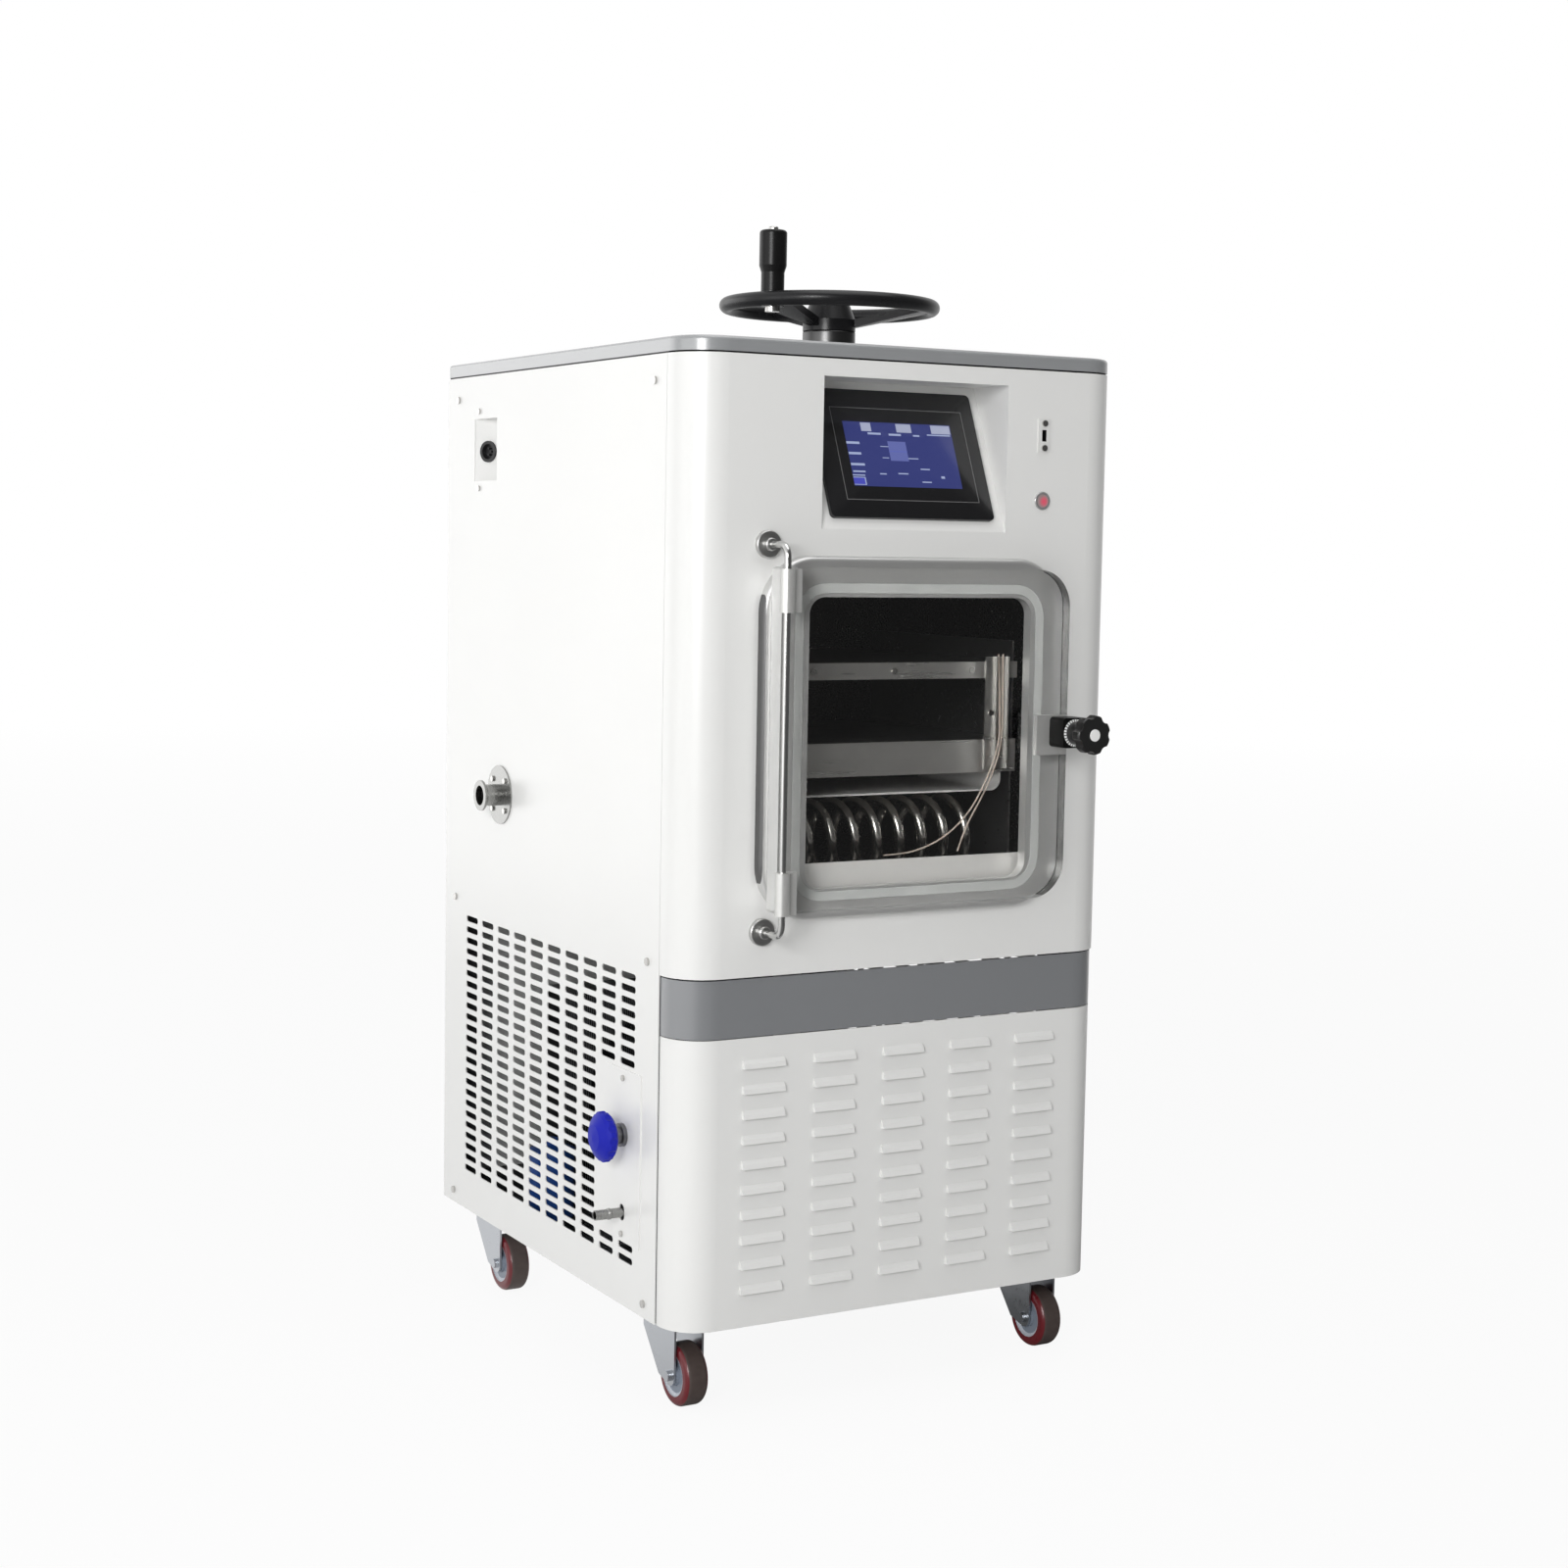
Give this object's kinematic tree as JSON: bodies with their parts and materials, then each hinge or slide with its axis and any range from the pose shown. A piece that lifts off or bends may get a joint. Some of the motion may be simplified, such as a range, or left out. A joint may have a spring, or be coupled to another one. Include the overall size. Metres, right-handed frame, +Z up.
{
  "type": "laboratory freeze dryer",
  "caption": "Floor-standing laboratory freeze dryer on casters, with a clear hinged chamber door, heated shelves, an ice condenser coil, a touch display and a handwheel stoppering press.",
  "frame": {"origin": "centre of the cabinet's footprint, on the floor", "axes": "+Z up, +X to the right for someone who faces the door, the door looks along -Y"},
  "size_m": [0.6426, 0.817, 1.3906],
  "materials": {
    "panel_white": "smooth semi-gloss powder coat",
    "panel_grey": "smooth semi-gloss powder coat",
    "frame_steel": "primed square tube",
    "zinc_steel": "bright zinc plate",
    "stainless": "brushed stainless sheet",
    "flange_steel": "polished stainless",
    "bright_steel": "mirror polished",
    "bright_fixings": "plated steel",
    "button_ring": "plated ring",
    "port_metal": "stamped shell",
    "gasket_rubber": "translucent silicone",
    "door_acrylic": "clear cast acrylic, polished edges",
    "knob_black": "moulded thermoset",
    "wheel_black": "glossy black coating",
    "drain_blue": "moulded plastic",
    "valve_black": "moulded plastic",
    "display_black": "matt frame with a glossy screen",
    "button_red": "lit translucent cap",
    "socket_black": "moulded plastic with plated pins",
    "coil_tube": "drawn tube",
    "probe_braid": "braided sleeve in white and brown",
    "compressor_black": "gloss black enamel",
    "fin_aluminium": "finned core",
    "fan_plastic": "moulded plastic",
    "filter_blue": "gloss blue paint",
    "box_plastic": "moulded enclosure",
    "caster_wheel": "red polyurethane tyre on a pale hub"
  },
  "bodies": {
    "cabinet": {"cabinet_frame": "frame_steel", "base_pan": "zinc_steel", "left_side_panel": "panel_white", "right_side_panel": "panel_white", "rear_panel": "panel_white", "front_upper_panel": "panel_white", "front_band": "panel_grey", "front_lower_panel": "panel_white", "top_cover": "panel_grey", "display_housing": "panel_white", "touch_display": "display_black", "power_button_ring": "button_ring", "usb_port": "port_metal", "socket_pocket": "panel_white", "power_socket": "socket_black", "vacuum_port": "bright_steel", "panel_screws": "bright_fixings", "valve_plate": "panel_white", "drain_valve": "valve_black", "hose_tail": "bright_steel", "chamber_shell": "stainless", "chamber_flange": "flange_steel", "door_gasket": "gasket_rubber", "hinge_rod": "bright_steel", "hinge_bosses": "bright_steel", "screw_collar": "bright_steel", "shelf_rack": "stainless", "probe_bracket": "stainless", "probe_wire_1": "probe_braid", "probe_wire_2": "probe_braid", "condenser_coil": "coil_tube", "condenser_guards": "stainless", "compressor": "compressor_black", "air_condenser": "fin_aluminium", "liquid_filter": "filter_blue", "control_box": "box_plastic", "caster_plates": "zinc_steel"},
    "door": {"door_panel": "door_acrylic", "hinge_barrels": "bright_steel", "latch_plate": "flange_steel", "latch_housing": "knob_black"},
    "latch_knob": {"star_knob": "knob_black"},
    "latch_bolt": {"latch_stud": "bright_fixings"},
    "press_wheel": {"handwheel": "wheel_black", "drive_nut": "bright_fixings", "grip_spindle": "bright_fixings"},
    "wheel_grip": {"crank_grip": "wheel_black"},
    "press": {"press_plate": "stainless", "lead_screw": "stainless"},
    "start_button": {"power_button": "button_red"},
    "drain_handle": {"drain_knob": "drain_blue"},
    "fan_rotor": {"fan": "fan_plastic"},
    "swivel_front_left": {"fork_front_left": "zinc_steel"},
    "roller_front_left": {"wheel_front_left": "caster_wheel"},
    "swivel_front_right": {"fork_front_right": "zinc_steel"},
    "roller_front_right": {"wheel_front_right": "caster_wheel"},
    "swivel_rear_left": {"fork_rear_left": "zinc_steel"},
    "roller_rear_left": {"wheel_rear_left": "caster_wheel"},
    "swivel_rear_right": {"fork_rear_right": "zinc_steel"},
    "roller_rear_right": {"wheel_rear_right": "caster_wheel"}
  },
  "joints": [
    {"name": "door_hinge", "type": "hinge", "parent": "cabinet", "child": "door", "pos_m": [-0.197, -0.4, 0.791], "axis": [0, 0, -1], "range_deg": [0, 150]},
    {"name": "latch_turn", "type": "hinge", "parent": "door", "child": "latch_knob", "pos_m": [0.1885, -0.44, 0.795], "axis": [0, 1, 0], "range_deg": [0, 720]},
    {"name": "latch_slide", "type": "slide", "parent": "door", "child": "latch_bolt", "axis": [0, 1, 0], "range_m": [0, 0.008]},
    {"name": "wheel_turn", "type": "hinge", "parent": "cabinet", "child": "press_wheel", "pos_m": [0, -0.147, 1.29], "axis": [0, 0, -1], "range_deg": [0, 3600]},
    {"name": "press_slide", "type": "slide", "parent": "cabinet", "child": "press", "axis": [0, 0, -1], "range_m": [0, 0.05]},
    {"name": "grip_spin", "type": "hinge", "parent": "press_wheel", "child": "wheel_grip", "pos_m": [-0.1078, -0.195, 1.35], "axis": [0, 0, 1], "continuous": true},
    {"name": "button_press", "type": "slide", "parent": "cabinet", "child": "start_button", "axis": [0, 1, 0], "range_m": [0, 0.003], "stiffness_N_per_m": 500, "springref_m": -0.001},
    {"name": "drain_turn", "type": "hinge", "parent": "cabinet", "child": "drain_handle", "pos_m": [-0.32, -0.21, 0.312], "axis": [-1, 0, 0], "range_deg": [0, 720]},
    {"name": "fan_spin", "type": "hinge", "parent": "cabinet", "child": "fan_rotor", "pos_m": [-0.03, 0.209, 0.257], "axis": [0, 1, 0], "continuous": true},
    {"name": "swivel_turn_front_left", "type": "hinge", "parent": "cabinet", "child": "swivel_front_left", "pos_m": [-0.253, -0.257, 0.095], "axis": [0, 0, 1], "continuous": true},
    {"name": "roll_front_left", "type": "hinge", "parent": "swivel_front_left", "child": "roller_front_left", "pos_m": [-0.253, -0.285, 0.0375], "axis": [1, 0, 0], "continuous": true},
    {"name": "swivel_turn_front_right", "type": "hinge", "parent": "cabinet", "child": "swivel_front_right", "pos_m": [0.253, -0.257, 0.095], "axis": [0, 0, 1], "continuous": true},
    {"name": "roll_front_right", "type": "hinge", "parent": "swivel_front_right", "child": "roller_front_right", "pos_m": [0.253, -0.285, 0.0375], "axis": [1, 0, 0], "continuous": true},
    {"name": "swivel_turn_rear_left", "type": "hinge", "parent": "cabinet", "child": "swivel_rear_left", "pos_m": [-0.253, 0.257, 0.095], "axis": [0, 0, 1], "continuous": true},
    {"name": "roll_rear_left", "type": "hinge", "parent": "swivel_rear_left", "child": "roller_rear_left", "pos_m": [-0.253, 0.229, 0.0375], "axis": [1, 0, 0], "continuous": true},
    {"name": "swivel_turn_rear_right", "type": "hinge", "parent": "cabinet", "child": "swivel_rear_right", "pos_m": [0.253, 0.257, 0.095], "axis": [0, 0, 1], "continuous": true},
    {"name": "roll_rear_right", "type": "hinge", "parent": "swivel_rear_right", "child": "roller_rear_right", "pos_m": [0.253, 0.229, 0.0375], "axis": [1, 0, 0], "continuous": true}
  ],
  "couplings": [
    {"joint": "latch_slide", "follows": "latch_turn", "m_per_rad": 0.00062866},
    {"joint": "press_slide", "follows": "wheel_turn", "m_per_rad": 0.00079418}
  ]
}
